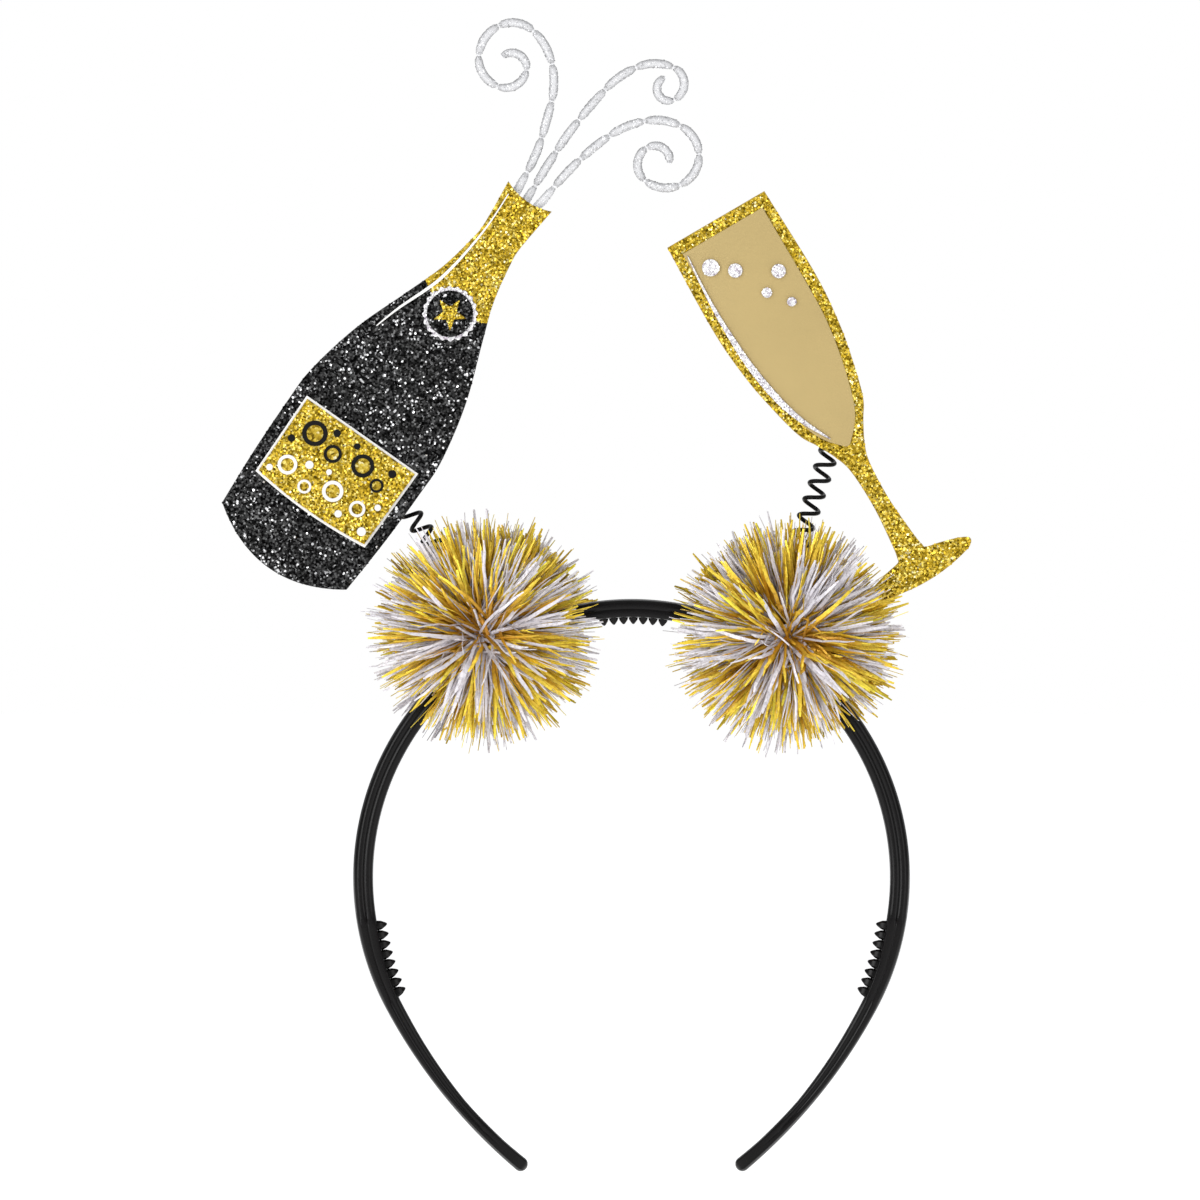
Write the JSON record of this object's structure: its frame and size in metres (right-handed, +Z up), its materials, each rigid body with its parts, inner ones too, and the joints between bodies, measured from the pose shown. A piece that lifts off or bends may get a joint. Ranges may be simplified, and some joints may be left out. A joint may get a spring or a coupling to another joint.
{
  "type": "champagne bottle and glass head bopper headband",
  "caption": "Black comb headband with tinsel pompoms and a glitter champagne bottle and champagne glass cut-out, each wobbling on a coil spring.",
  "frame": {"origin": "middle of the crown on the plane of the band's inner rims, where the band sits on the head", "axes": "+X to the right as seen from the front, +Y to the back of the head, +Z up"},
  "size_m": [0.1815, 0.045, 0.2793],
  "materials": {
    "band_plastic": "satin black moulding",
    "gold_tinsel": "shiny metallised film",
    "silver_tinsel": "shiny metallised film",
    "spring_wire": "black coated spring wire",
    "black_glitter": "black glitter on foam board",
    "gold_glitter": "gold glitter on foam board",
    "silver_glitter": "silver glitter",
    "white_card": "matt white card",
    "wine_card": "matt champagne-coloured card",
    "holder_plastic": "matt black moulding"
  },
  "bodies": {
    "headband": {"headband": "band_plastic", "pompom_left": "gold_tinsel", "pompom_right": "gold_tinsel"},
    "left_spring": {"spring_left": "spring_wire"},
    "bottle": {"bottle_board": "black_glitter", "neck_foil": "gold_glitter", "label_border": "white_card", "label_panel": "gold_glitter", "seal_scallop": "silver_glitter", "seal_disc": "black_glitter", "seal_star": "gold_glitter", "shoulder_glint": "white_card", "bottle_holder": "holder_plastic", "spray_left": "silver_glitter", "spray_middle": "silver_glitter", "spray_right": "silver_glitter"},
    "right_spring": {"spring_right": "spring_wire"},
    "glass": {"glass_board": "gold_glitter", "wine_panel": "wine_card", "bubble_1": "silver_glitter", "bubble_2": "silver_glitter", "bubble_3": "silver_glitter", "bubble_4": "silver_glitter", "bubble_5": "silver_glitter", "bowl_glint": "silver_glitter", "glass_holder": "holder_plastic"}
  },
  "joints": [
    {"name": "bottle_nod", "type": "hinge", "parent": "headband", "child": "left_spring", "pos_m": [-0.03221, 0, -0.00368], "axis": [1, 0, 0], "range_deg": [-25, 20], "stiffness_Nm_per_rad": 0.03, "deforming": ["spring_left"]},
    {"name": "bottle_sway", "type": "hinge", "parent": "left_spring", "child": "bottle", "pos_m": [-0.04529, 0, 0.01401], "axis": [0, 1, 0], "range_deg": [-22, 4], "stiffness_Nm_per_rad": 0.03, "deforming": ["spring_left"]},
    {"name": "glass_nod", "type": "hinge", "parent": "headband", "child": "right_spring", "pos_m": [0.03334, 0, -0.00431], "axis": [1, 0, 0], "range_deg": [-25, 10], "stiffness_Nm_per_rad": 0.03, "deforming": ["spring_right"]},
    {"name": "glass_sway", "type": "hinge", "parent": "right_spring", "child": "glass", "pos_m": [0.04168, 0, 0.02121], "axis": [0, 1, 0], "range_deg": [-4, 22], "stiffness_Nm_per_rad": 0.03, "deforming": ["spring_right"]}
  ]
}
